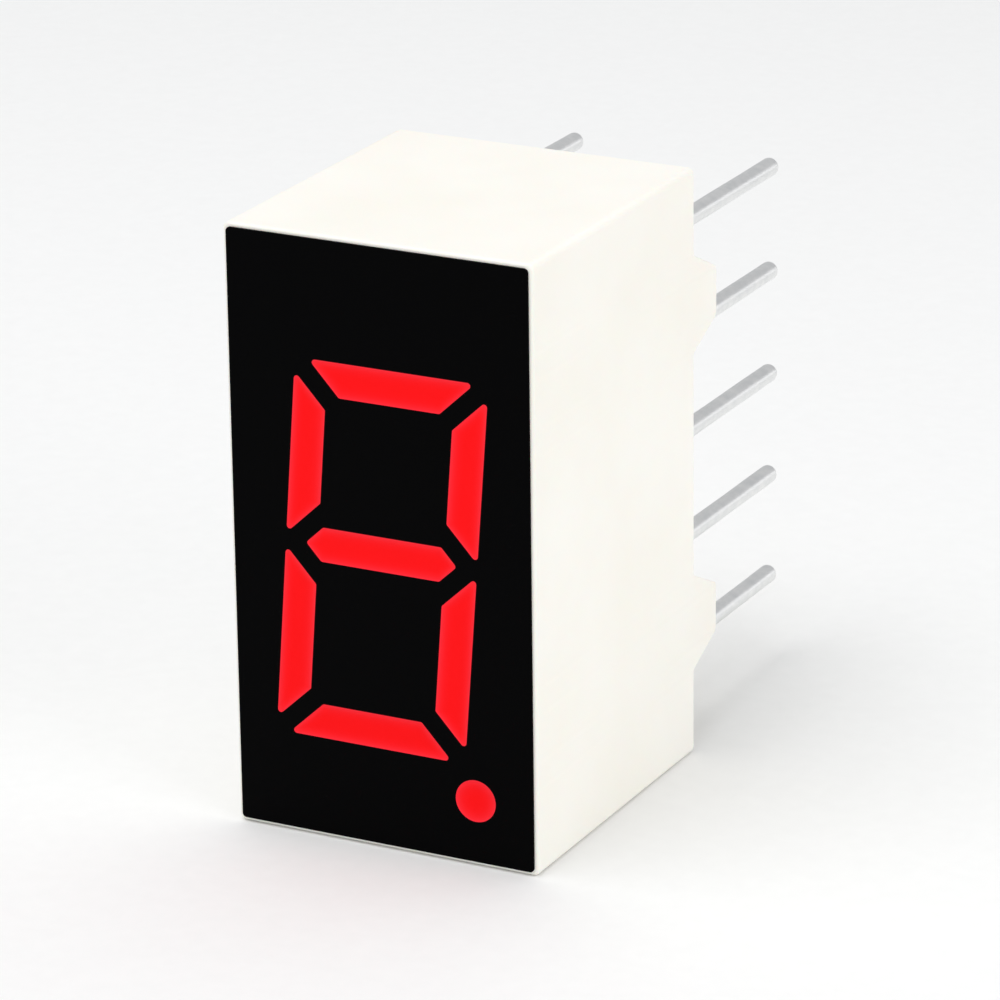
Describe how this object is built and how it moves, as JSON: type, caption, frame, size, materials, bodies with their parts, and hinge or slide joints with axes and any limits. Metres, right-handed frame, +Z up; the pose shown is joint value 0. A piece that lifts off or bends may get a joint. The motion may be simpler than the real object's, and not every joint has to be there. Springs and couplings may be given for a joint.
{
  "type": "seven segment display",
  "caption": "Single-digit seven segment LED display with decimal point, white block housing, black face, red segments, side rows of through-hole pins and standoff feet.",
  "frame": {"origin": "centre of the pin grid, on the seating plane at the tips of the four feet", "axes": "+Y runs back along the pins, +Z up the digit, +X to the viewer's right, so the face looks along -Y; at rest it stands on its lower side"},
  "size_m": [0.0074, 0.0148, 0.014],
  "materials": {
    "housing": "moulded white polycarbonate, satin",
    "face_film": "black stamped film, satin",
    "red_resin": "diffusing red cast epoxy, smooth",
    "board": "glass epoxy laminate, matt",
    "copper": "etched copper, bright",
    "solder": "reflowed tin solder, bright",
    "silver_glue": "silver-filled epoxy, matt",
    "chip": "red LED crystal, polished",
    "gold_wire": "drawn gold wire, bright",
    "pin": "tinned round wire, satin",
    "rear_resin": "milky cast epoxy, smooth"
  },
  "bodies": {
    "root": {"reflector_housing": "housing", "face_mask": "face_film", "circuit_board": "board", "copper_tracks": "copper", "solder_joints": "solder", "chip_glue": "silver_glue", "rear_resin": "rear_resin", "decimal_point": "red_resin", "segment_a": "red_resin", "segment_b": "red_resin", "segment_c": "red_resin", "segment_d": "red_resin", "segment_e": "red_resin", "segment_f": "red_resin", "segment_g": "red_resin", "led_chip_a": "chip", "bond_wire_a": "gold_wire", "led_chip_b": "chip", "bond_wire_b": "gold_wire", "led_chip_c": "chip", "bond_wire_c": "gold_wire", "led_chip_d": "chip", "bond_wire_d": "gold_wire", "led_chip_e": "chip", "bond_wire_e": "gold_wire", "led_chip_f": "chip", "bond_wire_f": "gold_wire", "led_chip_g": "chip", "bond_wire_g": "gold_wire", "led_chip_dp": "chip", "bond_wire_dp": "gold_wire", "pin_1": "pin", "pin_2": "pin", "pin_3": "pin", "pin_4": "pin", "pin_5": "pin", "pin_6": "pin", "pin_7": "pin", "pin_8": "pin", "pin_9": "pin", "pin_10": "pin"}
  },
  "joints": []
}
